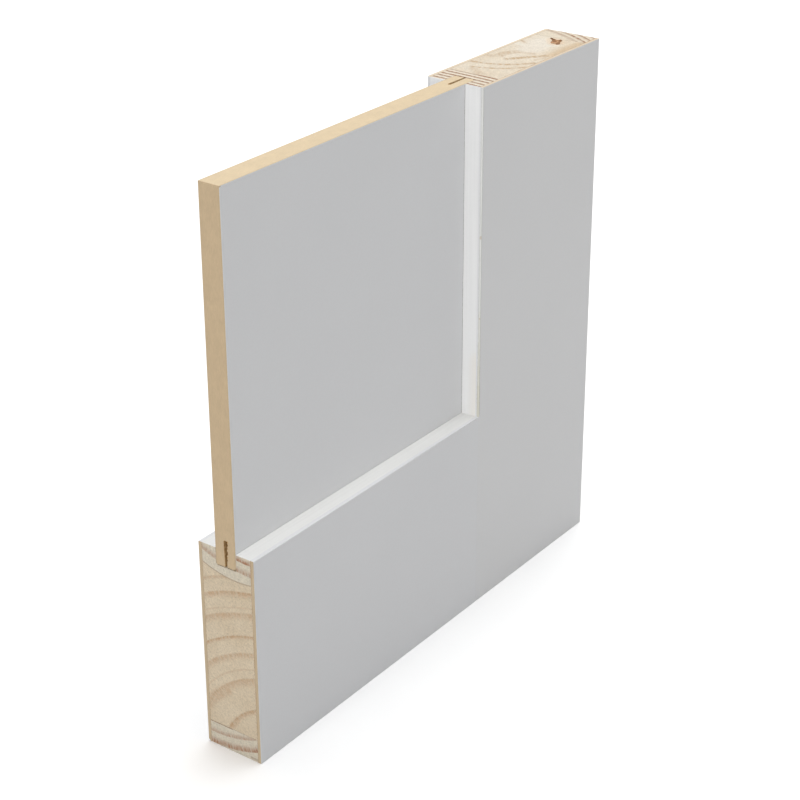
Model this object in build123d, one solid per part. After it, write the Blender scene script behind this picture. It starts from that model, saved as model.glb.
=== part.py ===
"""Corner sample of a flat-panel interior door, sawn out where the stile meets the bottom rail.

Stile and rail are each built up the same way: a softwood core with a band glued to either
edge, between two thin fibreboard skins. The inner bands are grooved for a fibreboard panel.
The rail's end is cut to a tongue that fills the stile's groove, and two dowels cross the joint.
The panel floats in its grooves, and a saw kerf splits each of its hidden edges.

Millimetres. +Z is up, the front looks along -Y, and the origin is at the middle of the foot.
"""

import os

from build123d import *

# Whole sample
sample_width = 304.8
sample_height = 304.8
door_thickness = 34.925
stile_width = 114.3
rail_height = 117.475

# Skins on both faces of stile and rail
skin_thickness = 2.0
arris_radius = 0.5
foot_chamfer = 1.2

# Groove for the panel, cut in the inner bands
groove_depth = 9.525
groove_corner_radius = 0.6

# Edge bands: the inner ones are measured under the groove, the outer ones from the edge
stile_wood_under_groove = 8.0
rail_wood_under_groove = 5.0
stile_outer_band_width = 13.0
rail_outer_band_height = 13.7

# The rail's inner glue line is bowed: how far it rises from its middle to each face
glue_line_rise_back = 4.1
glue_line_rise_front = 0.4

# Panel: its hidden edges are eased more in front, and the kerf in them is pinched at its mouth
panel_thickness = 12.7
panel_side_clearance = 0.1
panel_edge_clearance = 0.4
panel_front_edge_radius = 2.2
panel_back_edge_radius = 1.2
kerf_width = 2.1
kerf_mouth_width = 1.3
kerf_depth = 14.8
kerf_corner_radius = 0.8

# Tongue on the end of the rail
tongue_side_clearance = 0.05
tongue_end_clearance = 0.5

# Dowels across the joint, each set this far in from the edge of the rail's core
dowel_diameter = 9.5
dowel_length = 100.0
dowel_chamfer = 1.0
dowel_flutes = 16
flute_radius = 0.5
bore_clearance = 0.1
bore_end_room = 1.5
bore_tip_height = 2.9
dowel_edge_distance = 18.6

# Places that follow from the sizes above
left = -sample_width / 2
right = sample_width / 2
shoulder = right - stile_width
face = door_thickness / 2
core_face = face - skin_thickness
core_thickness = 2 * core_face
groove_width = panel_thickness + 2 * panel_side_clearance
tongue_thickness = groove_width - 2 * tongue_side_clearance
tongue_end = shoulder + groove_depth - tongue_end_clearance
rail_length = shoulder - left
panel_right = shoulder + groove_depth - panel_edge_clearance
panel_bottom = rail_height - groove_depth + panel_edge_clearance
rail_core_top = rail_height - groove_depth - rail_wood_under_groove
lower_dowel_height = rail_outer_band_height + dowel_edge_distance
upper_dowel_height = rail_core_top - dowel_edge_distance

BACK, FRONT = 1, -1

# Stile and rail are drawn alike, in section: across is through the door towards the back,
# up is out of the panel groove, and zero is at the edge that the groove is cut in.
stile_section = Plane(origin=(shoulder, 0, 0), x_dir=(0, 1, 0), z_dir=(0, 0, 1))
rail_section = Plane(origin=(left, 0, rail_height), x_dir=(0, 1, 0), z_dir=(1, 0, 0))


def groove():
    """Section of the panel groove, square at its mouth and slightly rounded at its floor."""
    mouth_overcut = 1.0
    height = groove_depth + mouth_overcut
    slot = Pos(0, mouth_overcut - height / 2) * Rectangle(groove_width, height)
    return fillet(slot.vertices().sort_by(Axis.Y)[:2], groove_corner_radius)


def kerf():
    """Section of the saw kerf, from the panel's edge inwards."""
    edge_overcut = 1.0
    mouth, floor = kerf_mouth_width / 2, kerf_width / 2
    slot = make_face(Polyline(
        (mouth, -edge_overcut), (mouth, 0), (floor, kerf_depth),
        (-floor, kerf_depth), (-mouth, 0), (-mouth, -edge_overcut), close=True,
    ))
    return fillet(slot.vertices().sort_by(Axis.Y)[-2:], kerf_corner_radius)


def glue_line(depth, rise_back=0.0, rise_front=0.0):
    """The line between inner band and core, from the front skin to the back skin."""
    front = (-core_face, rise_front - depth)
    back = (core_face, rise_back - depth)
    if rise_back == rise_front == 0:
        return Line(front, back)
    return ThreePointArc(front, (0, -depth), back)


def above(line, height):
    """Section of the wood between a glue line and a straight edge over or under it."""
    front_corner = (-core_face, height)
    back_corner = (core_face, height)
    return make_face([
        line,
        Line(line @ 1, back_corner),
        Line(back_corner, front_corner),
        Line(front_corner, line @ 0),
    ])


def outer_band(width, band):
    """Section of the band on the edge away from the panel."""
    return Pos(0, band / 2 - width) * Rectangle(core_thickness, band)


def skin(side, width, inner_radius, outer_radius):
    """Section of a skin on the back or front, with its outside corners eased where asked."""
    middle = side * (core_face + skin_thickness / 2)
    sheet = Pos(middle, -width / 2) * Rectangle(skin_thickness, width)
    for radius, pick in ((inner_radius, -1), (outer_radius, 0)):
        if radius:
            outside = sheet.vertices().sort_by(Axis.X)
            outside = outside[-2:] if side == BACK else outside[:2]
            sheet = fillet(outside.sort_by(Axis.Y)[pick], radius)
    return sheet


def up_the_stile(section, length=sample_height, start=0.0):
    """A piece of the stile: its section drawn out from the foot, or from start."""
    return extrude(stile_section.offset(start) * section, length)


def along_the_rail(section, length=rail_length):
    """A piece of the rail: its section drawn out from the cut end to the shoulder or past it."""
    return extrude(rail_section * section, length)


def cheeks():
    """The wood that is milled off both faces of the rail's end to leave the tongue."""
    half = tongue_thickness / 2
    cheek = Rectangle(core_face - half, rail_height, align=(Align.MIN, Align.MAX))
    sides = Sketch() + [Pos(half, 0) * cheek, mirror(Pos(half, 0) * cheek, Plane.YZ)]
    return extrude(rail_section.offset(rail_length) * sides, tongue_end - shoulder)


def foot_cutter():
    """The sliver that comes off the back lower arris, right across the foot of the sample."""
    overcut = 1.0
    low = (face - foot_chamfer - overcut, -overcut)
    high = (face + overcut, foot_chamfer + overcut)
    sliver = make_face(Polyline(low, high, (face + overcut, -overcut), close=True))
    return extrude(Plane(origin=(left, 0, 0), x_dir=(0, 1, 0), z_dir=(1, 0, 0)) * sliver, sample_width)


def dowel_place(height):
    """Middle of a dowel, in the joint, with its length along the rail."""
    return Location(Plane(origin=(shoulder, 0, height), x_dir=(0, 1, 0), z_dir=(1, 0, 0)))


def dowel(height):
    """A fluted dowel with chamfered ends."""
    radius = dowel_diameter / 2
    peg = Cylinder(radius, dowel_length)
    peg = chamfer(peg.edges().filter_by(GeomType.CIRCLE), dowel_chamfer)
    flutes = Sketch() + [place * Circle(flute_radius) for place in PolarLocations(radius, dowel_flutes)]
    return dowel_place(height) * (peg - extrude(flutes, dowel_length / 2, both=True))


def dowel_bore(height):
    """The drilled hole for a dowel, with room at both ends and a drill point beyond."""
    radius = dowel_diameter / 2 + bore_clearance
    reach = dowel_length / 2 + bore_end_room
    tip = reach + bore_tip_height
    half_section = Plane.XZ * Polyline((0, -tip), (radius, -reach), (radius, reach), (0, tip), close=True)
    return dowel_place(height) * revolve(make_face(half_section), Axis.Z)


def panel():
    """The flat panel: eased and kerfed along its two hidden edges, sawn square on the others."""
    width = panel_right - left
    height = sample_height - panel_bottom
    outline = Pos(left, panel_bottom) * Rectangle(width, height, align=(Align.MIN, Align.MIN))
    board = extrude(Plane.XZ * outline, panel_thickness / 2, both=True)
    for radius, side in ((panel_front_edge_radius, 0), (panel_back_edge_radius, -1)):
        arrises = board.edges().group_by(Axis.Y)[side]
        lower_arris = arrises.filter_by(Axis.X).sort_by(Axis.Z)[0]
        stile_arris = arrises.filter_by(Axis.Z).sort_by(Axis.X)[-1]
        board = fillet([lower_arris, stile_arris], radius)
    rail_side = Plane(origin=(left, 0, panel_bottom), x_dir=(0, 1, 0), z_dir=(1, 0, 0))
    stile_side = Plane(origin=(panel_right, 0, panel_bottom), x_dir=(0, 1, 0), z_dir=(0, 0, 1))
    return board - extrude(rail_side * kerf(), width) - extrude(stile_side * kerf(), height)


def stile_pieces(bores):
    """Core, bands and skins of the stile, which runs from the foot to the cut top."""
    line = glue_line(groove_depth + stile_wood_under_groove)
    above_rail = sample_height - rail_height
    pieces = {
        "stile_core": up_the_stile(above(line, stile_outer_band_width - stile_width)) - bores,
        "stile_inner_band": up_the_stile(above(line, 0) - groove()) - bores,
        "stile_outer_band": up_the_stile(outer_band(stile_width, stile_outer_band_width)),
    }
    for name, side in (("stile_front_skin", FRONT), ("stile_back_skin", BACK)):
        beside_rail = up_the_stile(skin(side, stile_width, 0, arris_radius), rail_height)
        beside_panel = up_the_stile(
            skin(side, stile_width, arris_radius, arris_radius), above_rail, start=rail_height
        )
        pieces[name] = beside_rail + beside_panel
    pieces["stile_back_skin"] -= foot_cutter()
    return pieces


def rail_pieces(bores):
    """Core, bands and skins of the rail, from its cut end to the shoulder and tongue."""
    line = glue_line(rail_height - rail_core_top, glue_line_rise_back, glue_line_rise_front)
    full_length = tongue_end - left
    shoulders = cheeks()
    core = along_the_rail(above(line, rail_outer_band_height - rail_height), full_length)
    inner = along_the_rail(above(line, 0) - groove(), full_length)
    outer = along_the_rail(outer_band(rail_height, rail_outer_band_height), full_length)
    return {
        "rail_core": core - shoulders - bores,
        "rail_inner_band": inner - shoulders,
        "rail_outer_band": outer - shoulders,
        "rail_front_skin": along_the_rail(skin(FRONT, rail_height, arris_radius, 0)),
        "rail_back_skin": along_the_rail(skin(BACK, rail_height, arris_radius, 0)) - foot_cutter(),
    }


bores = dowel_bore(lower_dowel_height) + dowel_bore(upper_dowel_height)

pieces = stile_pieces(bores) | rail_pieces(bores)
pieces["panel"] = panel()
pieces["dowel_lower"] = dowel(lower_dowel_height)
pieces["dowel_upper"] = dowel(upper_dowel_height)

os.makedirs("parts", exist_ok=True)
for name, shape in pieces.items():
    export_step(shape, f"parts/{name}.step")
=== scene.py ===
"""Finishes of a sawn corner sample from a flat-panel interior door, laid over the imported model.

Metres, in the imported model's own frame: +Z is up, the front looks along -Y, and the sample's
left end and top are the two sawn ends that show how it is built. Lists of places in the wood's
figure are in millimetres.
"""

from math import cos, pi, radians, sin

import bmesh
import bpy
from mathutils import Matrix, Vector


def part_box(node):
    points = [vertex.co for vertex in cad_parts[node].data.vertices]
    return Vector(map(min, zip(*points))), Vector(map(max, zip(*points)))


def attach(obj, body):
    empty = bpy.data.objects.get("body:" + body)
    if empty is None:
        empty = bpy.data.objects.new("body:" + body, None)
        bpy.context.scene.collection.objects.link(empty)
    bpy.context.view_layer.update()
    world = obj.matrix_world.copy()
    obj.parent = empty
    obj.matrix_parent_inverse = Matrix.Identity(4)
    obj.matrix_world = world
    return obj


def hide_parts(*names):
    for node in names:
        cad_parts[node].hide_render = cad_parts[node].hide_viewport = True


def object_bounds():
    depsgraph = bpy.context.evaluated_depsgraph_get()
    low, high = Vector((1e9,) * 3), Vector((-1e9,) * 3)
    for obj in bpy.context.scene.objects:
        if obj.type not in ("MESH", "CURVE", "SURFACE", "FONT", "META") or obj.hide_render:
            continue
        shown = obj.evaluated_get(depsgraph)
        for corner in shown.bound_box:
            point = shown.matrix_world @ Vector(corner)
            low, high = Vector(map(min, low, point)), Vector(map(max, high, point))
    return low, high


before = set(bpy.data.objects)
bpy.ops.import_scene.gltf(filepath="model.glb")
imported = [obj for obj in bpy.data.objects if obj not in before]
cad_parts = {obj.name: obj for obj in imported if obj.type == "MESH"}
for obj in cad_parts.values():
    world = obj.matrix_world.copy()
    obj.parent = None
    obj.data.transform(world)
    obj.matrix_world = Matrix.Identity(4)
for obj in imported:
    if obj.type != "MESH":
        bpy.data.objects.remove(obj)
cad_low, cad_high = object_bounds()


# Stile core: a wide block of pale sapwood pine between two bands and two skins, sawn off square
# at both ends. Its growth rings swerve round a small branch knot near the outer band, and the
# knot's dark heart has dried and cracked open like a star.

MM = 0.001
EASED = 0.12 * MM              # a sawn end's arrises are broken by this much
LONG_ARRIS = 0.6 * MM          # shorter ones are steps of a rounded corner, which is soft already
NARROW = 1.0 * MM              # a face narrower than this is one step of a rounded corner
SAME_POINT = 0.001 * MM        # corners closer than this are one corner
FLAT, SHARP = radians(1), radians(30)    # between two faces that are one, and between two at an arris
SQUARE_ON = 0.999              # how squarely a sawn end faces along the grain
ALONG_STILE, ALONG_RAIL = Vector((0, 0, 1)), Vector((1, 0, 0))
RAW, GLUE, PRIMED, KERFED = range(4)    # a piece's materials, in this order


def put(tree, kind, inputs=None, **settings):
    """Adds a node. Its inputs are values, or outputs of other nodes, by socket name or number."""
    made = tree.nodes.new(kind)
    for name, value in settings.items():
        setattr(made, name, value)
    for socket, value in (inputs or {}).items():
        if isinstance(value, bpy.types.NodeSocket):
            tree.links.new(value, made.inputs[socket])
        else:
            made.inputs[socket].default_value = value
    return made


def reckon(tree, operation, first, second=0.0, third=0.0, **settings):
    """One step of arithmetic, as a socket."""
    inputs = {0: first, 1: second, 2: third}
    return put(tree, "ShaderNodeMath", inputs, operation=operation, **settings).outputs[0]


def reckon_vector(tree, operation, first, second):
    """One step of vector arithmetic, as a socket. A scale takes a number second."""
    second_socket = "Scale" if operation == "SCALE" else 1
    made = put(tree, "ShaderNodeVectorMath", {0: first, second_socket: second}, operation=operation)
    return made.outputs["Value" if operation in ("DISTANCE", "DOT_PRODUCT") else "Vector"]


def cloudy(tree, vector, per_metre, detail=2.0, roughness=0.5, output="Fac"):
    """A cloudy pattern with so many features per metre, as a socket."""
    return put(tree, "ShaderNodeTexNoise", {
        "Vector": vector, "Scale": per_metre, "Detail": detail, "Roughness": roughness,
    }).outputs[output]


def spread(tree, value, low, high, to_low=0.0, to_high=1.0, smooth=False):
    """A value stretched from one range to another and held inside it, as a socket."""
    return put(tree, "ShaderNodeMapRange", {
        "Value": value, "From Min": low, "From Max": high, "To Min": to_low, "To Max": to_high,
    }, interpolation_type="SMOOTHSTEP" if smooth else "LINEAR").outputs[0]


def varied(tree, pattern, low, high):
    """A value that a cloudy pattern leads from low to high, as a socket."""
    return spread(tree, pattern, 0.3, 0.7, low, high)


def mixed(tree, factor, first, second):
    """Two colours mixed, as a socket."""
    made = put(tree, "ShaderNodeMix", data_type="RGBA")
    for socket, value in ((0, factor), (6, first), (7, second)):
        if isinstance(value, bpy.types.NodeSocket):
            tree.links.new(value, made.inputs[socket])
        else:
            made.inputs[socket].default_value = value if socket == 0 else (*value, 1)
    return made.outputs[2]


def brightened(tree, colour, factor):
    """A colour times a number, as a socket."""
    return reckon_vector(tree, "SCALE", colour, factor)


def stray(tree, vector, per_metre, reach, detail=2.0):
    """A step aside that changes from place to place, up to about half of reach, as a socket."""
    cloud = cloudy(tree, vector, per_metre, detail=detail, output="Color")
    return reckon_vector(tree, "SCALE", reckon_vector(tree, "SUBTRACT", cloud, (0.5, 0.5, 0.5)), reach)


def new_finish(name, shine):
    """A new material and its shader: (material, tree, shader)."""
    material = bpy.data.materials.new(name)
    material.use_nodes = True
    shader = material.node_tree.nodes["Principled BSDF"]
    shader.inputs["Specular IOR Level"].default_value = shine
    return material, material.node_tree, shader


def lay_on(tree, shader, colour, roughness, relief=None, strength=0.0, depth=0.0):
    """Gives a finish its colour and roughness, and fine hills and hollows after a pattern."""
    tree.links.new(colour, shader.inputs["Base Color"])
    tree.links.new(roughness, shader.inputs["Roughness"])
    if relief is not None:
        bump = put(tree, "ShaderNodeBump", {"Height": relief, "Strength": strength, "Distance": depth})
        tree.links.new(bump.outputs[0], shader.inputs["Normal"])


def place_in_sample(tree):
    """Where the point lies in the sample, as a vector socket."""
    return put(tree, "ShaderNodeTexCoord").outputs["Object"]


def new_figure(name, takes, gives):
    """An empty group of shader nodes and the outputs of its input node, by socket name."""
    group = bpy.data.node_groups.new(name, "ShaderNodeTree")
    for side, sockets in (("INPUT", takes), ("OUTPUT", gives)):
        for socket, kind in sockets.items():
            group.interface.new_socket(socket, in_out=side, socket_type="NodeSocket" + kind)
    return group, put(group, "NodeGroupInput").outputs


LONG_GRAIN = 0.03    # how fast the figure changes along the wood, as a share of how fast it does across
RAYS_PER_METRE, BREAKS_PER_METRE = 750.0, 160.0    # rays side by side, and ends of them on a radius


def pine_figure():
    """Node group for the figure of pine. The point's first two parts lie in the end grain, and the
    third along it. Place is that point, a little astray, and Radius is how far the pith is."""
    group, given = new_figure(
        "pine_figure",
        {"Point": "Vector", "Pith": "Vector", **dict.fromkeys(("Mean Radius", "Wander", "Seed"), "Float")},
        {"Place": "Vector", **dict.fromkeys(("Radius", "Rays", "Cells", "Clouds"), "Float")},
    )
    flat = reckon_vector(group, "MULTIPLY", given["Point"], (1, 1, 0))
    along = put(group, "ShaderNodeSeparateXYZ", {0: given["Point"]}).outputs[2]
    drawn_out = put(group, "ShaderNodeCombineXYZ", {
        2: reckon(group, "MULTIPLY_ADD", along, LONG_GRAIN, given["Seed"]),
    }).outputs[0]
    grain = reckon_vector(group, "ADD", flat, drawn_out)

    drift = stray(group, grain, per_metre=30, reach=given["Wander"])
    ragged = stray(group, grain, per_metre=900, reach=0.5 * MM, detail=1)
    place = reckon_vector(group, "ADD", reckon_vector(group, "ADD", flat, drift), ragged)
    place = reckon_vector(group, "MULTIPLY", place, (1, 1, 0))
    from_pith = reckon_vector(group, "SUBTRACT", place, given["Pith"])
    radius = reckon_vector(group, "DISTANCE", place, given["Pith"])

    # Rays run out from the pith: narrow round it, and drawn out along the radius
    aside, up, _ = put(group, "ShaderNodeSeparateXYZ", {0: from_pith}).outputs
    round_pith = reckon(group, "MULTIPLY", reckon(group, "ARCTAN2", up, aside), given["Mean Radius"])
    rays_at = put(group, "ShaderNodeCombineXYZ", {
        0: reckon(group, "MULTIPLY", round_pith, RAYS_PER_METRE),
        1: reckon(group, "MULTIPLY", radius, BREAKS_PER_METRE),
        2: given["Seed"],
    }).outputs[0]
    put(group, "NodeGroupOutput", {
        "Place": place,
        "Radius": radius,
        "Rays": cloudy(group, rays_at, per_metre=1, detail=1),
        "Cells": cloudy(group, grain, per_metre=850, roughness=0.65),
        "Clouds": cloudy(group, grain, per_metre=75, detail=3),
    })
    return group


def ring_figure():
    """Node group for one growth ring: it darkens outwards over its width and then fades away."""
    group, given = new_figure(
        "growth_ring",
        dict.fromkeys(("Radius", "Outside", "Width", "Fade", "Depth", "Others"), "Float"),
        {"Latewood": "Float"},
    )
    inside = reckon(group, "SUBTRACT", given["Outside"], given["Width"])
    gone = reckon(group, "ADD", given["Outside"], given["Fade"])
    rise = spread(group, given["Radius"], inside, given["Outside"], smooth=True)
    fall = spread(group, given["Radius"], given["Outside"], gone, 1.0, 0.0, smooth=True)
    ring = reckon(group, "MULTIPLY", reckon(group, "MINIMUM", rise, fall), given["Depth"])
    put(group, "NodeGroupOutput", {0: reckon(group, "MAXIMUM", ring, given["Others"])})
    return group


def streak_figure():
    """Node group for one straight streak with round ends and soft edges."""
    group, given = new_figure(
        "streak",
        {"Point": "Vector", "Start": "Vector", "End": "Vector",
         **dict.fromkeys(("Half Width", "Softness", "Depth", "Others"), "Float")},
        {"Mark": "Float"},
    )
    run = reckon_vector(group, "SUBTRACT", given["End"], given["Start"])
    gone = reckon_vector(group, "SUBTRACT", given["Point"], given["Start"])
    share = reckon(
        group, "DIVIDE", reckon_vector(group, "DOT_PRODUCT", gone, run),
        reckon_vector(group, "DOT_PRODUCT", run, run), use_clamp=True,
    )
    off = reckon_vector(group, "DISTANCE", gone, reckon_vector(group, "SCALE", run, share))
    edge = reckon(group, "ADD", given["Half Width"], given["Softness"])
    mark = spread(group, off, given["Half Width"], edge, 1.0, 0.0, smooth=True)
    mark = reckon(group, "MULTIPLY", mark, given["Depth"])
    put(group, "NodeGroupOutput", {0: reckon(group, "MAXIMUM", mark, given["Others"])})
    return group


def bent_streak_figure():
    """Node group for one streak along an arc, that fades out past its reach from the middle."""
    group, given = new_figure(
        "bent_streak",
        {"Point": "Vector", "Centre": "Vector", "Middle": "Vector",
         **dict.fromkeys(("Radius", "Reach", "Half Width", "Softness", "Depth", "Others"), "Float")},
        {"Mark": "Float"},
    )
    from_centre = reckon_vector(group, "DISTANCE", given["Point"], given["Centre"])
    off = reckon(group, "ABSOLUTE", reckon(group, "SUBTRACT", from_centre, given["Radius"]))
    edge = reckon(group, "ADD", given["Half Width"], given["Softness"])
    mark = spread(group, off, given["Half Width"], edge, 1.0, 0.0, smooth=True)
    from_middle = reckon_vector(group, "DISTANCE", given["Point"], given["Middle"])
    end = reckon(group, "ADD", given["Reach"], given["Softness"])
    window = spread(group, from_middle, given["Reach"], end, given["Depth"], 0.0, smooth=True)
    mark = reckon(group, "MULTIPLY", mark, window)
    put(group, "NodeGroupOutput", {0: reckon(group, "MAXIMUM", mark, given["Others"])})
    return group


def centre_of_arc(start, middle, end):
    """Centre of the circle through three points."""
    first, second = middle - start, end - start
    double_area = 2 * (first.x * second.y - first.y * second.x)
    along = second.y * first.length_squared - first.y * second.length_squared
    up = first.x * second.length_squared - second.x * first.length_squared
    return start + Vector((along, up, 0)) / double_area


def streaks(tree, point, drawn, others=0.0):
    """Streaks, as a socket. Each is (points, half width, softness, depth), in mm: straight from
    one point to another, or bent through three."""
    for points, half_width, softness, depth in drawn:
        start, *middle, end = (Vector((*place, 0)[:3]) for place in points)
        ends = {"Start": start, "End": end}
        if middle:
            centre = centre_of_arc(start, *middle, end)
            ends = {"Middle": middle[0], "Centre": centre, "Radius": (centre - start).length}
            ends["Reach"] = max((start - middle[0]).length, (end - middle[0]).length)
        others = put(tree, "ShaderNodeGroup", {
            "Point": point, "Half Width": half_width, "Softness": softness, "Depth": depth,
            "Others": others, **ends,
        }, node_tree=bent_streak_group if middle else streak_group).outputs[0]
    return others


BLOCK_RADIUS = 34    # mm from the pith to the middle of a wide block, where no ring tells it


def pine(name, grain, pale, late, pith, wander, rings=(), streaked=(), stains=(), clouded=None,
         seed=0.0, dotted=0.35):
    """Raw pine. Rings are (radius, width, fade, depth of colour), in mm from the pith. Streaked are
    rings that no pith fits, and stains are (colour, streaks). Wander is how far, in mm, the rings
    stray. Clouded is a darker tone of the pale wood, and dotted is the least that the rays leave
    of a ring's colour."""
    material, tree, shader = new_finish(name, 0.2)
    x, y, z = put(tree, "ShaderNodeSeparateXYZ", {0: place_in_sample(tree)}).outputs
    across, up, along = (x, y, z) if grain is ALONG_STILE else (y, z, x)
    mean_radius = sum(ring[0] for ring in rings) / len(rings) if rings else BLOCK_RADIUS
    figure = put(tree, "ShaderNodeGroup", {
        "Point": put(tree, "ShaderNodeCombineXYZ", {0: across, 1: up, 2: along}).outputs[0],
        "Pith": (pith[0] * MM, pith[1] * MM, 0), "Mean Radius": mean_radius * MM,
        "Wander": wander * MM, "Seed": seed,
    }, node_tree=pine_group).outputs
    rays, cells = figure["Rays"], figure["Cells"]
    place = reckon_vector(tree, "SCALE", figure["Place"], 1 / MM)
    radius_here = reckon(tree, "DIVIDE", figure["Radius"], MM)

    latewood = 0.0
    for radius, width, fade, depth in rings:
        latewood = put(tree, "ShaderNodeGroup", {
            "Radius": radius_here, "Outside": radius, "Width": width, "Fade": fade, "Depth": depth,
            "Others": latewood,
        }, node_tree=ring_group).outputs[0]
    latewood = streaks(tree, place, streaked, latewood)
    ring = reckon(tree, "MULTIPLY", latewood, spread(tree, rays, 0.35, 0.65, dotted, 1.25), use_clamp=True)

    base = mixed(tree, spread(tree, figure["Clouds"], 0.3, 0.75), pale, clouded or [c * 0.95 for c in pale])
    colour = mixed(tree, ring, base, late)
    for mark_colour, drawn in stains:
        colour = mixed(tree, streaks(tree, place, drawn), colour, mark_colour)
    grainy = reckon(tree, "MULTIPLY", varied(tree, cells, 0.9, 1.09), varied(tree, rays, 0.96, 1.04))
    specks = spread(tree, cloudy(tree, figure["Place"], per_metre=1300, detail=0), 0.62, 0.75, 1.0, 0.86)
    colour = brightened(tree, colour, reckon(tree, "MULTIPLY", grainy, specks))
    relief = reckon(tree, "ADD", cells, reckon(tree, "MULTIPLY", ring, 0.8))
    roughness = spread(tree, ring, 0, 1, 0.85, 0.65)
    lay_on(tree, shader, colour, roughness, relief, strength=0.3, depth=0.12 * MM)
    return material


def glue_line(name, wood):
    """The thin strip of set glue along the joints of a sawn end: dull brown, with darker dots."""
    material, tree, shader = new_finish(name, 0.35)
    dots = cloudy(tree, place_in_sample(tree), per_metre=900, detail=1)
    dark, light = [c * 0.58 for c in wood], [c * 0.9 for c in wood]
    colour = mixed(tree, spread(tree, dots, 0.4, 0.6), dark, light)
    lay_on(tree, shader, colour, varied(tree, dots, 0.45, 0.7))
    return material


def keep_made(piece):
    """Turns what a piece's modifiers make into its own mesh, and takes them off."""
    made = piece.evaluated_get(bpy.context.evaluated_depsgraph_get())
    plain = bpy.data.meshes.new_from_object(made)
    piece.modifiers.clear()
    piece.data = plain


def cut(piece, cutter):
    """Cuts one form out of a piece. The walls of the cut take the cutter's material."""
    saw = piece.modifiers.new("cut", "BOOLEAN")
    saw.operation, saw.solver, saw.material_mode = "DIFFERENCE", "EXACT", "TRANSFER"
    saw.use_self = True
    saw.object = cutter
    keep_made(piece)
    bpy.data.objects.remove(cutter)


def new_piece(name):
    """An empty mesh object in the scene."""
    piece = bpy.data.objects.new(name, bpy.data.meshes.new(name))
    bpy.context.scene.collection.objects.link(piece)
    return piece


def join_to_sample(piece, node):
    """Declares a finished piece: it moves with the sample and stands for its plain solid."""
    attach(piece, "root")
    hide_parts(node)


def finished(node, grain, materials, coat=None, worked=None):
    """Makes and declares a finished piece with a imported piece's form: flat faces made whole, and
    the arrises of its sawn ends eased. Coat gives the material's number for a face from its middle
    and normal, and worked is run on the piece before it is declared."""
    piece = new_piece(node + "_finished")
    form = bmesh.new()
    form.from_mesh(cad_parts[node].data)
    bmesh.ops.remove_doubles(form, verts=form.verts, dist=SAME_POINT)
    bmesh.ops.dissolve_limit(form, angle_limit=FLAT, verts=form.verts, edges=form.edges)
    for face in form.faces:
        face.material_index = coat(face.calc_center_median(), face.normal) if coat else RAW
        face.smooth = face.calc_area() < NARROW * max(edge.calc_length() for edge in face.edges)
    ends = [face for face in form.faces if abs(face.normal.dot(grain)) > SQUARE_ON]
    arrises = {
        edge for face in ends for edge in face.edges
        if edge.calc_face_angle(0) > SHARP and edge.calc_length() > LONG_ARRIS
    }
    strips = bmesh.ops.bevel(
        form, geom=list(arrises), offset=EASED, offset_type="OFFSET", segments=1, profile=0.5,
        affect="EDGES", clamp_overlap=False,
    )["faces"]
    coats = {}
    for strip in strips:
        beside = [face for edge in strip.edges for face in edge.link_faces if face is not strip]
        coats[strip] = max(face.material_index for face in beside)
    for strip, beside in coats.items():
        strip.material_index = max(beside, GLUE)
        strip.smooth = False
    bmesh.ops.dissolve_degenerate(form, dist=SAME_POINT, edges=form.edges)
    form.to_mesh(piece.data)
    form.free()
    piece.data.attributes.remove(piece.data.attributes["custom_normal"])
    for material in materials:
        piece.data.materials.append(material)
    if worked:
        worked(piece)
    join_to_sample(piece, node)


pine_group, ring_group = pine_figure(), ring_figure()
streak_group, bent_streak_group = streak_figure(), bent_streak_figure()

core_cream, core_tan = (0.745, 0.67, 0.555), (0.52, 0.375, 0.235)
KNOT_DEPTH = 0.4 * MM
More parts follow.
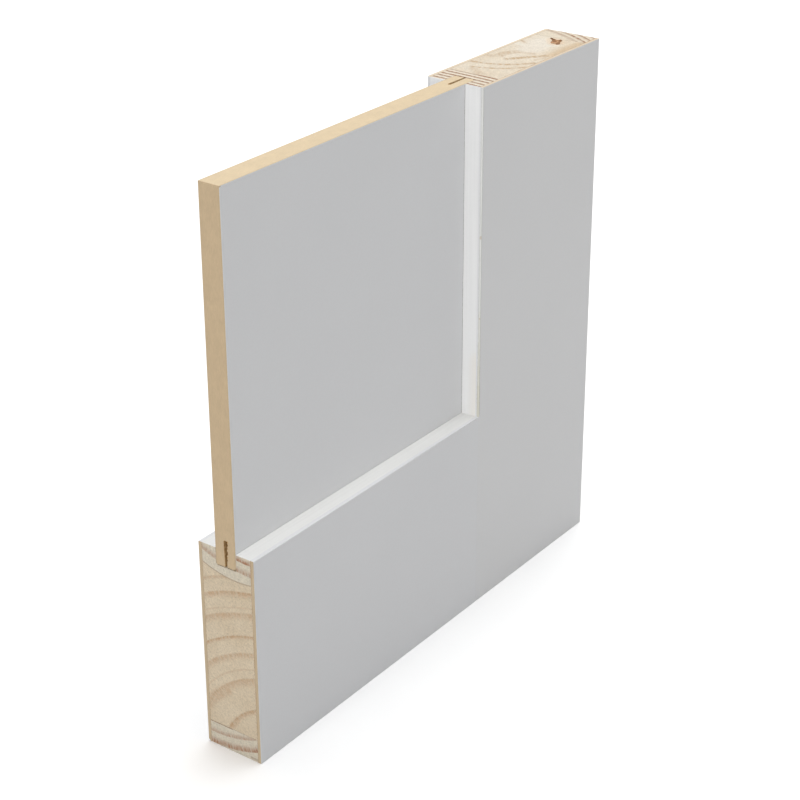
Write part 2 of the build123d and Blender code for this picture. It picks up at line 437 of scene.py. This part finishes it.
# The knot's cracked heart as it shows on the sawn top, (x, y): four ragged arms
KNOT_OUTLINE = [
    (138.2, 4.7), (136.6, 1.5), (136.0, -0.3), (137.9, -1.5), (136.4, -3.4), (132.7, -4.3), (129.8, -6.0),
    (127.7, -5.3), (128.7, -3.1), (128.2, -1.1), (130.4, 0.6), (132.7, 0.9), (135.2, 3.0), (136.9, 5.1),
]
KNOT_ARMS = [
    ([(137.8, 4.8), (133.8, -0.2)], 0.7, 0.9, 1.0),
    ([(137.2, -2.2), (134.6, -2.8)], 0.8, 0.9, 0.85),
    ([(128.4, -1.2), (130.8, -1.2)], 0.5, 0.8, 0.7),
    ([(128.2, -5.2), (132.2, -3.6)], 1.0, 0.9, 1.0),
]
stile_core_pine = pine(
    "stile_core_pine", ALONG_STILE, core_cream, core_tan, pith=(114.6, 24.5), wander=0.6, seed=3.0,
    clouded=(0.70, 0.60, 0.465), dotted=0.25,
    streaked=[
        ([(66.3, 9.5), (71.4, -4.5), (82, -15.2)], 0.6, 1.2, 0.75),
        ([(74.6, 15.5), (78.6, -1.5), (91, -14.4)], 0.7, 1.1, 0.85),
        ([(89.2, 15.5), (89.8, 11.5), (93.5, 8.4)], 1.4, 2.0, 0.5),
        ([(92, 8.6), (102.5, 5.8), (107.2, -3)], 2.0, 1.8, 0.6),
        ([(88.0, 2.2), (97.4, -5.1), (106.6, -12.8)], 1.2, 1.2, 1.0),
        ([(96, -11.5), (103, -14.2)], 0.5, 1.0, 0.45),
        ([(57, -3), (61, 3), (66, 7.5)], 1.4, 2.6, 0.4),
        ([(124, 15.4), (122.3, 12.2), (120.2, 8.2)], 0.6, 0.7, 0.9),
        ([(113, 7.5), (115.5, 10.5)], 0.7, 1.0, 0.4),
    ],
    stains=[
        ((0.775, 0.715, 0.62), [([(113, 1.5), (127, 4.5)], 5.0, 6.0, 0.8)]),
        ((0.62, 0.47, 0.305), [
            ([(110, -15.4), (136, -15.0)], 0.8, 7.0, 0.85),
            ([(134, -6.6), (138, -6.0)], 1.2, 3.5, 0.3),
        ]),
        ((0.76, 0.58, 0.40), [([(130.5, -2.6), (135.8, 1.2)], 3.2, 2.8, 0.5)]),
        ((0.80, 0.77, 0.69), [
            ([(116.6, 10.6), (118.2, 14.6)], 0.9, 1.8, 0.45),
            ([(123.2, -2.2), (124.4, -4.8), (127, -6.6)], 0.4, 1.6, 0.45),
        ]),
    ],
)
knot_heart = pine(
    "knot_heart", ALONG_STILE, (0.66, 0.41, 0.225), (0.24, 0.115, 0.045), pith=(133, -1.5),
    wander=0.3, seed=6.0, streaked=KNOT_ARMS, dotted=0.8, clouded=(0.54, 0.31, 0.175),
)
core_glue = glue_line("core_glue", (0.70, 0.56, 0.41))


def crack_knot(piece):
    """Opens the knot's heart in the sawn top."""
    cutter = new_piece("knot_cutter")
    form = bmesh.new()
    floor_height = cad_high.z - KNOT_DEPTH
    rim = [form.verts.new((x * MM, y * MM, floor_height)) for x, y in KNOT_OUTLINE]
    heart = form.faces.new(rim)
    raised = bmesh.ops.extrude_face_region(form, geom=[heart])["geom"]
    raised = [part for part in raised if isinstance(part, bmesh.types.BMVert)]
    bmesh.ops.translate(form, vec=(0, 0, 2 * KNOT_DEPTH), verts=raised)
    bmesh.ops.recalc_face_normals(form, faces=form.faces)
    form.to_mesh(cutter.data)
    form.free()
    cutter.data.materials.append(knot_heart)
    cut(piece, cutter)


finished("stile_core", ALONG_STILE, [stile_core_pine, core_glue], worked=crack_knot)


# Stile bands: narrow strips of slow-grown pine glued to both edges of the core. The inner one is
# grooved for the panel and primed beside the groove, and the outer one is primed on its edge.

stile_low, stile_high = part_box("stile_front_skin")
rail_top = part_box("rail_front_skin")[1].z
shoulder, right = stile_low.x, stile_high.x
arris_x, skin_face = shoulder / MM, cad_low.y / MM    # the arris beside the panel, in mm
CLOSE = 0.01 * MM            # a face this near to a plane lies in it
FACING, TURNED = 0.9, 0.5    # how much of a normal points one way: square to it, or on that side
STREAKS_ACROSS, STREAKS_ALONG = 900, 15    # per metre, where primer was brushed or sanded


def primer(name, colour, along=None, wear_and_shade=()):
    """White primer, sprayed and sanded: nearly flat, with a faint orange peel. Along a run where
    the brush or the sander went, it has faint streaks. Wear and shade are places where the board
    shows, and places where painted shade darkens the primer."""
    material, tree, shader = new_finish(name, 0.35)
    point = place_in_sample(tree)
    tone = varied(tree, cloudy(tree, point, per_metre=14, detail=3), 0.992, 1.008)
    peel = cloudy(tree, point, per_metre=900, detail=1)
    tone = reckon(tree, "MULTIPLY", tone, varied(tree, peel, 0.993, 1.007))
    if along is not None:
        stretch = [STREAKS_ALONG if axis else STREAKS_ACROSS for axis in along]
        brushed = cloudy(tree, reckon_vector(tree, "MULTIPLY", point, stretch), per_metre=1)
        tone = reckon(tree, "MULTIPLY", tone, varied(tree, brushed, 0.97, 1.012))
    colour = brightened(tree, colour, tone)
    ragged = stray(tree, point, per_metre=800, reach=1.0)
    near = reckon_vector(tree, "ADD", reckon_vector(tree, "SCALE", point, 1 / MM), ragged)
    # wear, and painted shade, laid over the primer
    for mark_colour, drawn in wear_and_shade:
        colour = mixed(tree, streaks(tree, near, drawn), colour, mark_colour)
    lay_on(tree, shader, colour, varied(tree, peel, 0.5, 0.58), peel, strength=0.2, depth=0.05 * MM)
    return material


def stile_coat(middle, normal):
    """Primed on the stile's inner edge above the rail and on its outer edge."""
    inner = abs(middle.x - shoulder) < CLOSE and middle.z > rail_top and normal.x < -TURNED
    outer = abs(middle.x - right) < CLOSE and normal.x > TURNED
    return PRIMED if inner or outer else RAW


def on_arris(low, high):
    """A stretch of the stile's arris beside the panel, from one height to another, in mm."""
    return [(arris_x, skin_face, low), (arris_x, skin_face, high)]


# Painted light: paler than the face primer, standing in for the stronger light on the stile's edges
stile_edge_primer_painted_light = primer("stile_edge_primer_painted_light", (0.91, 0.91, 0.905), ALONG_STILE, wear_and_shade=[
    ((0.885, 0.85, 0.785), [(on_arris(119, 150), 2.0, 7.0, 0.65)]),
])
band_cream, band_red = (0.79, 0.715, 0.59), (0.27, 0.115, 0.05)
inner_band_pine = pine(
    "stile_inner_band_pine", ALONG_STILE, band_cream, band_red, pith=(-360, 24), wander=0.7, seed=7.0,
    rings=[(401.0 + 3.9 * ring, 2.4, 0.5, 1.0) for ring in range(5)], dotted=0.65,
)
outer_band_pine = pine(
    "stile_outer_band_pine", ALONG_STILE, (0.745, 0.66, 0.53), band_red, pith=(68, 38), wander=0.7,
    rings=[(86.3, 3.2, 1.4, 0.5), (90.4, 2.4, 0.5, 0.9), (94.5, 2.4, 0.5, 0.9), (98.4, 1.8, 0.6, 0.8)],
    seed=9.0, dotted=0.4,
)
band_glue = glue_line("band_glue", (0.67, 0.53, 0.39))
for name, wood in (("stile_inner_band", inner_band_pine), ("stile_outer_band", outer_band_pine)):
    finished(name, ALONG_STILE, [wood, band_glue, stile_edge_primer_painted_light], stile_coat)


# Stile skins: thin hard fibreboard glued over core and bands, front and back, and primed. On the
# arris beside the panel the primer was rubbed thin near the rail, and two small chips show board.
# All along that arris, painted shade darkens the primer grey.

skin_inner_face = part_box("stile_core")[1].y
FIBRES_ALONG, FIBRES_THROUGH = 450, 2600    # per metre, along the sheet and through its layers


def fibreboard(name, top_tone, shaded_left_tone, edge_share, half_thickness, glued_at=None):
    """Raw fibreboard on its sawn edges: packed fibres in layers along the sheet. At the left end it is
    darker and browner than at the top, in the shaded left tone: painted shade, as that end gets less
    light. At glued_at before the middle plane, glue darkens a line."""
    material, tree, shader = new_finish(name, 0.2)
    point = place_in_sample(tree)
    layered = reckon_vector(tree, "MULTIPLY", point, (FIBRES_ALONG, FIBRES_THROUGH, FIBRES_ALONG))
    fibres = cloudy(tree, layered, per_metre=1, detail=3, roughness=0.6)
    blotches = cloudy(tree, point, per_metre=160)
    x, y, _ = put(tree, "ShaderNodeSeparateXYZ", {0: point}).outputs
    # Painted shade: the sawn left end takes the darker shaded left tone
    left_end_shade = spread(tree, x, cad_low.x + 0.1 * MM, cad_low.x + 0.6 * MM, 1.0, 0.0)
    depth = reckon(tree, "ABSOLUTE", y)
    near_face = spread(tree, depth, 0.75 * half_thickness, half_thickness, 1.0, edge_share, smooth=True)
    colour = brightened(tree, mixed(tree, left_end_shade, top_tone, shaded_left_tone), near_face)
    if glued_at is not None:
        line = spread(tree, depth, glued_at + 0.1 * MM, glued_at + 0.9 * MM, 1.0, 0.0)
        line = reckon(tree, "MULTIPLY", line, reckon(tree, "LESS_THAN", y, 0.0))
        patchy = spread(tree, cloudy(tree, point, per_metre=110), 0.38, 0.62, 0.1, 0.9)
        colour = mixed(tree, reckon(tree, "MULTIPLY", line, patchy), colour, (0.50, 0.33, 0.18))
    fibrous = spread(tree, fibres, 0.25, 0.75, 0.93, 1.07)
    tone = reckon(tree, "MULTIPLY", fibrous, varied(tree, blotches, 0.97, 1.03))
    colour, roughness = brightened(tree, colour, tone), varied(tree, fibres, 0.8, 0.92)
    lay_on(tree, shader, colour, roughness, fibres, strength=0.35, depth=0.1 * MM)
    return material


# Grey painted shade along the arris that tones down its highlight, primer rubbed almost through, and bare
# board in the chips
ARRIS_PAINTED_SHADE, RUBBED, CHIPPED = (0.69, 0.69, 0.67), (0.62, 0.595, 0.51), (0.46, 0.33, 0.20)
stile_skin_primer = primer("stile_skin_primer", (0.795, 0.797, 0.80), wear_and_shade=[
    # painted shade along the arris's whole height, that tones down its highlight
    (ARRIS_PAINTED_SHADE, [(on_arris(119, 310), 0.7, 0.8, 1.0)]),
    (RUBBED, [
        (on_arris(119, 136), 0.8, 0.7, 0.9),
        (on_arris(136, 148), 0.7, 0.7, 0.7),
        (on_arris(148, 162), 0.6, 0.7, 0.5),
        (on_arris(162, 180), 0.5, 0.7, 0.3),
    ]),
    (CHIPPED, [
        (on_arris(222.6, 223.4), 0.4, 0.5, 0.45),
        (on_arris(176.2, 176.8), 0.3, 0.4, 0.35),
    ]),
])
# The second colour is painted shade for the sawn left end
skin_board = fibreboard(
    "skin_board", (0.735, 0.62, 0.475), (0.60, 0.475, 0.32), 0.97, cad_high.y, glued_at=skin_inner_face,
)
skin_glue = glue_line("skin_glue", (0.64, 0.49, 0.33))


def skin_coat(middle, normal):
    """Primed on a skin's outside and on its arrises, but not where it is sawn or glued."""
    outward = -1 if middle.y < 0 else 1
    glued = normal.y * outward < -TURNED
    sawn = abs(normal.z) > FACING and (middle.z < CLOSE or middle.z > cad_high.z - CLOSE)
    sawn |= normal.x < -FACING and middle.x < cad_low.x + CLOSE
    butted = abs(middle.x - shoulder) < CLOSE and abs(normal.x) > FACING and middle.z < rail_top
    return RAW if glued or sawn or butted else PRIMED


for name in ("stile_front_skin", "stile_back_skin"):
    finished(name, ALONG_STILE, [skin_board, skin_glue, stile_skin_primer], skin_coat)


# Rail core: the same kind of block laid flat. Its pith lies in front of the front lower edge, so
# that the rings fall in wide arcs from the front skin to the back one. Its far end is part of the
# tongue that fills the stile's groove.

BOW_RISE_BACK, BOW_RISE_FRONT = 4.1, 0.4    # of the glue line, from its middle to each skin
back_y = skin_inner_face / MM
bow_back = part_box("rail_core")[1].z / MM
bow_middle = bow_back - BOW_RISE_BACK
bow = [(back_y, bow_back), (0, bow_middle), (-back_y, bow_middle + BOW_RISE_FRONT)]
rail_core_pine = pine(
    "rail_core_pine", ALONG_RAIL, (0.725, 0.612, 0.455), (0.485, 0.29, 0.16), pith=(-32.5, -4.1),
    clouded=(0.67, 0.55, 0.395), wander=1.6, seed=1.0, dotted=0.45,
    rings=[
        (39.5, 3.2, 1.0, 0.68), (56.7, 5.8, 0.8, 0.54), (62, 1.0, 0.8, 0.3), (70.6, 4.2, 1.4, 0.5),
        (80.3, 2.2, 0.7, 0.66), (92.4, 4.4, 1.4, 0.48), (95.8, 0.8, 0.8, 0.25), (104.2, 4.2, 0.9, 0.56),
        (112.2, 1.8, 1.2, 0.45),
    ],
    streaked=[
        ([(15.4, 24.5), (9.4, 31.2), (2.4, 37.4)], 1.6, 2.8, 0.42),
        ([(0.5, 16), (-3, 21)], 0.9, 1.8, 0.45),
    ],
    stains=[((0.40, 0.30, 0.22), [(bow, 0.1, 0.45, 0.6)])],
)
finished("rail_core", ALONG_RAIL, [rail_core_pine, core_glue])


# Rail bands: strips of whiter pine with reddish rings, over and under the rail's core. The upper
# one is grooved for the panel and meets the core along a bowed glue line.


def rail_coat(middle, normal):
    """Primed on the rail's upper edge, beside the groove."""
    upper = abs(middle.z - rail_top) < CLOSE and normal.z > TURNED and middle.x < shoulder
    return PRIMED if upper else RAW


rail_white, rail_red = (0.71, 0.64, 0.515), (0.40, 0.205, 0.12)
band_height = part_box("rail_outer_band")[1].z / MM
# Painted light: paler than the face primer, standing in for the stronger light on the rail's upper edge
rail_edge_primer_painted_light = primer("rail_edge_primer_painted_light", (0.855, 0.855, 0.84), ALONG_RAIL)
rail_inner_pine = pine(
    "rail_inner_band_pine", ALONG_RAIL, rail_white, rail_red, pith=(-14.3, 184), wander=0.7, seed=4.0,
    rings=[(69.8, 3.3, 0.5, 1.0), (75.9, 3.9, 0.7, 0.62)], dotted=0.45,
)
rail_outer_pine = pine(
    "rail_outer_band_pine", ALONG_RAIL, rail_white, rail_red, pith=(12.3, 70.5), wander=0.7, seed=5.0,
    rings=[(63.1, 3.4, 0.5, 0.62), (69.8, 4.4, 0.6, 0.92)], dotted=0.35,
    stains=[((0.32, 0.20, 0.13), [
        ([(back_y, band_height), (1, band_height)], 0.3, 0.5, 0.85),
        ([(1, band_height), (-back_y, band_height)], 0.05, 0.4, 0.3),
        ([(-11, 1.5), (-15, 1.4)], 0.1, 0.8, 0.5),
    ])],
)
upper_finishes = [rail_inner_pine, band_glue, rail_edge_primer_painted_light]
finished("rail_inner_band", ALONG_RAIL, upper_finishes, rail_coat)
finished("rail_outer_band", ALONG_RAIL, [rail_outer_pine, band_glue])


# Rail skins: the same thin fibreboard, glued over the rail's core and bands, front and back, and
# butted against the stile's skins. It is primed too, and shows bare board only where it was sawn.

rail_skin_primer = primer("rail_skin_primer", (0.795, 0.80, 0.81))
for name in ("rail_front_skin", "rail_back_skin"):
    finished(name, ALONG_RAIL, [skin_board, skin_glue, rail_skin_primer], skin_coat)


# Dowels: two hardwood pins, turned with sixteen flutes for the glue and a chamfer at each end, and
# driven across the joint between rail and stile.

DOWEL_CHAMFER, FLUTE_RADIUS, FLUTES = 1.0 * MM, 0.5 * MM, 16
FACES_PER_FLUTE = 16    # round the dowel, from the middle of one flute to the next


def new_maker(name, takes):
    """An empty tree of geometry nodes and the outputs of its input node, by socket name."""
    tree = bpy.data.node_groups.new(name, "GeometryNodeTree")
    for socket, kind in takes.items():
        tree.interface.new_socket(socket, in_out="INPUT", socket_type="NodeSocket" + kind)
    tree.interface.new_socket("Geometry", in_out="OUTPUT", socket_type="NodeSocketGeometry")
    return tree, put(tree, "NodeGroupInput").outputs


def end_maker(tree, geometry, material):
    """Ends a tree in real meshes with one material."""
    real = put(tree, "GeometryNodeRealizeInstances", {0: geometry}).outputs[0]
    made = put(tree, "GeometryNodeSetMaterial", {"Geometry": real, "Material": material}).outputs[0]
    put(tree, "NodeGroupOutput", {0: made})


def made_by(tree, name, values):
    """A new piece that a tree of geometry nodes makes from values, by input name."""
    piece = new_piece(name)
    maker = piece.modifiers.new(name, "NODES")
    maker.node_group = tree
    for socket in tree.interface.items_tree:
        if socket.name in values:
            maker[socket.identifier] = values[socket.name]
    keep_made(piece)
    return piece


def dowel_maker():
    """Tree for a fluted dowel along X: a cylinder whose end rings are drawn in for the chamfers,
    and whose sides are hollowed by round flutes."""
    tree, given = new_maker("fluted_dowel", {
        "Middle": "Vector", "Diameter": "Float", "Length": "Float", "Chamfer": "Float", "Flutes": "Int",
        "Flute Radius": "Float", "Wood": "Material",
    })
    radius = reckon(tree, "MULTIPLY", given["Diameter"], 0.5)
    half_length = reckon(tree, "MULTIPLY", given["Length"], 0.5)
    blank = put(tree, "GeometryNodeMeshCylinder", {
        "Vertices": reckon(tree, "MULTIPLY", given["Flutes"], FACES_PER_FLUTE), "Side Segments": 3,
        "Radius": radius, "Depth": given["Length"],
    }, fill_type="NGON").outputs[0]
    spot = put(tree, "GeometryNodeInputPosition").outputs[0]
    x, y, z = put(tree, "ShaderNodeSeparateXYZ", {0: spot}).outputs
    near_end = reckon(tree, "MULTIPLY", half_length, 0.9)
    at_end = reckon(tree, "GREATER_THAN", reckon(tree, "ABSOLUTE", z), near_end)
    drawn_in = reckon(tree, "MULTIPLY", at_end, given["Chamfer"])
    inner_ring = reckon(tree, "SUBTRACT", half_length, given["Chamfer"])
    reach = reckon(tree, "ADD", inner_ring, drawn_in)
    length_here = reckon(tree, "MULTIPLY", reckon(tree, "SIGN", z), reach)
    turn = reckon(tree, "ARCTAN2", y, x)
    half_between = reckon(tree, "DIVIDE", pi, given["Flutes"])
    off_flute = reckon(tree, "MULTIPLY", reckon(tree, "PINGPONG", turn, half_between), radius)
    hollow = reckon(
        tree, "SUBTRACT", reckon(tree, "POWER", given["Flute Radius"], 2.0),
        reckon(tree, "POWER", off_flute, 2.0),
    )
    hollow = reckon(tree, "SQRT", reckon(tree, "MAXIMUM", hollow, 0.0))
    radius_here = reckon(tree, "SUBTRACT", reckon(tree, "SUBTRACT", radius, drawn_in), hollow)
    placed = put(tree, "ShaderNodeCombineXYZ", {
        0: length_here, 1: reckon(tree, "MULTIPLY", radius_here, reckon(tree, "COSINE", turn)),
        2: reckon(tree, "MULTIPLY", radius_here, reckon(tree, "SINE", turn)),
    }).outputs[0]
    shaped = put(tree, "GeometryNodeSetPosition", {
        "Geometry": blank, "Position": reckon_vector(tree, "ADD", placed, given["Middle"]),
    }).outputs[0]
    end_maker(tree, shaped, given["Wood"])
    return tree


dowel_tree = dowel_maker()
dowel_wood = pine(
    "dowel_hardwood", ALONG_RAIL, (0.66, 0.48, 0.31), (0.52, 0.34, 0.2), pith=(40, 200), wander=0.6,
    rings=[(170, 1.5, 0.5, 0.4), (174, 1.5, 0.5, 0.4)],
)
for name in ("dowel_lower", "dowel_upper"):
    dowel_low, dowel_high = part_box(name)
    dowel = made_by(dowel_tree, name + "_finished", {
        "Middle": (dowel_low + dowel_high) / 2, "Diameter": dowel_high.y - dowel_low.y,
        "Length": dowel_high.x - dowel_low.x, "Chamfer": DOWEL_CHAMFER, "Flutes": FLUTES,
        "Flute Radius": FLUTE_RADIUS, "Wood": dowel_wood,
    })
    join_to_sample(dowel, name)


# Panel: one sheet of fibreboard, primed on both faces, that floats in the grooves. A saw kerf
# splits each hidden edge so that the edge can spring. Its walls are brown, darker inside with
# painted shade of the narrow slot, and at the left end its front edge is torn into small bites.

KERF_REACH = 1.2 * MM        # no wall of the kerf lies farther from the panel's middle plane
KERF_DEPTH = 14.8 * MM
DUST_AND_SHADE_FROM_LEFT, DUST_AND_SHADE_FROM_TOP = 8 * MM, 2.5 * MM    # nearer to a sawn end, the dust and the painted shade are lighter
TEARS, TEAR_RADIUS = 7, 0.65 * MM
# Painted shade: a dark grey line on the primer, standing for the shadow of the gap beside the stile
PAINTED_GAP_SHADE = (0.42, 0.41, 0.39)    # painted shade on the primer, for the fine gap where the panel goes into the stile
panel_low, panel_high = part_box("panel")
# Each second colour is painted shade for the sawn left end
panel_board = fibreboard("panel_board", (0.71, 0.575, 0.39), (0.62, 0.475, 0.305), 0.94, panel_high.y)
panel_arris = fibreboard("panel_arris", (0.68, 0.54, 0.36), (0.56, 0.42, 0.265), 1.0, panel_high.y)


def kerf_walls():
    """Sawn fibre inside the kerf, brown with dust and darkened inside with painted shade of the
    narrow slot, and paler near both sawn ends.
    """
    material, tree, shader = new_finish("kerf_walls", 0.1)
    point = place_in_sample(tree)
    dust = cloudy(tree, point, per_metre=700, detail=3)
    x, _, z = put(tree, "ShaderNodeSeparateXYZ", {0: point}).outputs
    paler_near_ends = reckon(
        tree, "MAXIMUM", spread(tree, x, panel_low.x, panel_low.x + DUST_AND_SHADE_FROM_LEFT, 0.35, 0.0),
        spread(tree, z, panel_high.z - DUST_AND_SHADE_FROM_TOP, panel_high.z - 0.3 * MM),
    )
    grainy = spread(tree, dust, 0.35, 0.65)
    # dust, and painted shade of the slot, make the walls darker away from the sawn ends
    dust_and_shade = mixed(tree, grainy, (0.40, 0.23, 0.085), (0.64, 0.42, 0.185))
    sawn = mixed(tree, grainy, (0.74, 0.54, 0.29), (0.86, 0.68, 0.42))
    colour, roughness = mixed(tree, paler_near_ends, dust_and_shade, sawn), varied(tree, dust, 0.85, 1.0)
    lay_on(tree, shader, colour, roughness, dust, strength=0.5, depth=0.2 * MM)
    return material


def tear_maker():
    """Tree for a row of rough bites, evenly spaced with a little chance in size and place."""
    tree, given = new_maker("torn_edge", {
        "From": "Vector", "To": "Vector", "Count": "Int", "Radius": "Float", "Seed": "Int",
        "Lining": "Material",
    })
    row = put(tree, "GeometryNodeMeshLine", {
        "Count": given["Count"], "Start Location": given["From"], "Offset": given["To"],
    }, mode="END_POINTS").outputs[0]
    astray = reckon_vector(tree, "SCALE", put(tree, "FunctionNodeRandomValue", {
        "Min": (-0.3, -0.3, -0.6), "Max": (0.3, 0.3, 0.6), "Seed": given["Seed"],
    }, data_type="FLOAT_VECTOR").outputs[0], given["Radius"])
    row = put(tree, "GeometryNodeSetPosition", {"Geometry": row, "Offset": astray}).outputs[0]
    size = put(tree, "FunctionNodeRandomValue", {
        "Min": (0.8, 0.7, 0.7), "Max": (1.2, 1.3, 1.4), "Seed": given["Seed"],
    }, data_type="FLOAT_VECTOR").outputs[0]
    bite = put(tree, "GeometryNodeMeshIcoSphere", {"Radius": given["Radius"], "Subdivisions": 3}).outputs[0]
    bites = put(tree, "GeometryNodeInstanceOnPoints", {
        "Points": row, "Instance": bite, "Scale": size,
    }).outputs[0]
    end_maker(tree, bites, given["Lining"])
    return tree


def panel_coat(middle, normal):
    """Primed on the panel's two faces, and brown in the kerfs."""
    if abs(normal.y) > FACING and abs(middle.y) > panel_high.y - CLOSE:
        return PRIMED
    at_end = middle.x < panel_low.x + CLOSE or middle.z > panel_high.z - CLOSE
    return KERFED if abs(middle.y) < KERF_REACH and not at_end else RAW


def tear_kerf(piece):
    """Tears the front edge of the kerf at the sawn left end."""
    cut(piece, made_by(tear_maker(), "tear_cutter", {
        "From": Vector((panel_low.x, -0.8 * MM, panel_low.z + 0.3 * KERF_DEPTH)),
        "To": Vector((panel_low.x, -1.1 * MM, panel_low.z + 0.93 * KERF_DEPTH)),
        "Count": TEARS, "Radius": TEAR_RADIUS, "Seed": 4, "Lining": kerf_brown,
    }))


kerf_brown = kerf_walls()
panel_left, panel_front, panel_top = panel_low.x / MM, panel_low.y / MM, panel_high.z / MM
beside_stile = [(arris_x, panel_front, rail_top / MM), (arris_x, panel_front, panel_top)]
sawn_corner = [(panel_left, panel_front, panel_top)] * 2
# painted shade in the gap beside the stile, and a real chip at the sawn corner
panel_primer = primer("panel_primer", (0.793, 0.798, 0.807), wear_and_shade=[
    (PAINTED_GAP_SHADE, [(beside_stile, 0.15, 0.3, 0.6)]), (CHIPPED, [(sawn_corner, 0.5, 0.7, 0.8)]),
])
finished(
    "panel", ALONG_RAIL, [panel_board, panel_arris, panel_primer, kerf_brown],
    panel_coat, worked=tear_kerf,
)


# Studio: one pale sheet is floor and backdrop. It reads white and keeps the sample's soft shadow.
# Two broad lamps light it, one overhead and one from the left, under a faint white sky.

FLOOR_HALF = 8.0                       # metres from the sample to the sheet's edges
FLOOR_LIT, FLOOR_SEEN = 0.58, 1.07     # how pale the sheet is for the light, and for the lens
floor = new_piece("floor")
floor.data.from_pydata(
    [(-FLOOR_HALF, -FLOOR_HALF, 0), (FLOOR_HALF, -FLOOR_HALF, 0),
     (FLOOR_HALF, FLOOR_HALF, 0), (-FLOOR_HALF, FLOOR_HALF, 0)], [], [(0, 1, 2, 3)],
)


def seen_directly(tree):
    """1 for what the lens, a gloss or a glass shows, and 0 for light that falls on the sample."""
    path = put(tree, "ShaderNodeLightPath").outputs
    seen = reckon(tree, "MAXIMUM", path["Is Camera Ray"], path["Is Glossy Ray"])
    return reckon(tree, "MAXIMUM", seen, path["Is Transmission Ray"])


floor_finish = bpy.data.materials.new("studio_floor")
floor_finish.use_nodes = True
floor_tree = floor_finish.node_tree
floor_clouds = cloudy(floor_tree, place_in_sample(floor_tree), per_metre=20)
floor_pale = spread(floor_tree, seen_directly(floor_tree), 0, 1, FLOOR_LIT, FLOOR_SEEN)
floor_tone = reckon(floor_tree, "MULTIPLY", varied(floor_tree, floor_clouds, 0.99, 1.0), floor_pale)
floor_paper = put(floor_tree, "ShaderNodeBsdfDiffuse", {0: brightened(floor_tree, (1, 1, 1), floor_tone)})
floor_tree.links.new(floor_paper.outputs[0], floor_tree.nodes["Material Output"].inputs[0])
floor.data.materials.append(floor_finish)

SKY = 0.2    # how bright the sky is for the light, where the lens sees 1
world = bpy.data.worlds.new("studio")
world.use_nodes = True
sky_tree = world.node_tree
sky = sky_tree.nodes["Background"]
sky_tree.links.new(spread(sky_tree, seen_directly(sky_tree), 0, 1, SKY, 1.0), sky.inputs["Strength"])
sky.inputs["Color"].default_value = (1, 1, 1, 1)
bpy.context.scene.world = world


def lamp(name, towards, strength, softness):
    """A broad soft lamp far away, on the side that towards points to. With a strength of pi it
    lights a sheet that faces it fully, and softness is how wide it looks, in degrees."""
    data = bpy.data.lights.new(name, "SUN")
    data.energy, data.angle = strength, radians(softness)
    made = bpy.data.objects.new(name, data)
    made.rotation_mode = "QUATERNION"
    made.rotation_quaternion = Vector(towards).to_track_quat("Z", "Y")
    bpy.context.scene.collection.objects.link(made)


lamp("overhead", (0.26, 0.02, 1.0), 0.81 * pi, 66)
lamp("left_side", (-0.93, -0.19, 0.30), 0.455 * pi, 50)

# The camera stands a metre away, to the left of the front, and looks down a little.
aim = Vector((4.3, 0.2, 160.2)) * MM
azimuth, elevation, distance = radians(-54.09), radians(24.78), 1.0426
back = Vector((sin(azimuth) * cos(elevation), -cos(azimuth) * cos(elevation), sin(elevation)))
camera = bpy.data.objects.new("camera", bpy.data.cameras.new("camera"))
camera.data.lens, camera.data.sensor_width = 88.3, 36.0
camera.data.shift_x, camera.data.shift_y = -0.02, -0.05
camera.location = aim + back * distance
camera.rotation_mode = "QUATERNION"
camera.rotation_quaternion = back.to_track_quat("Z", "Y")
bpy.context.scene.collection.objects.link(camera)
bpy.context.scene.camera = camera

bpy.context.scene.view_settings.view_transform = "Standard"
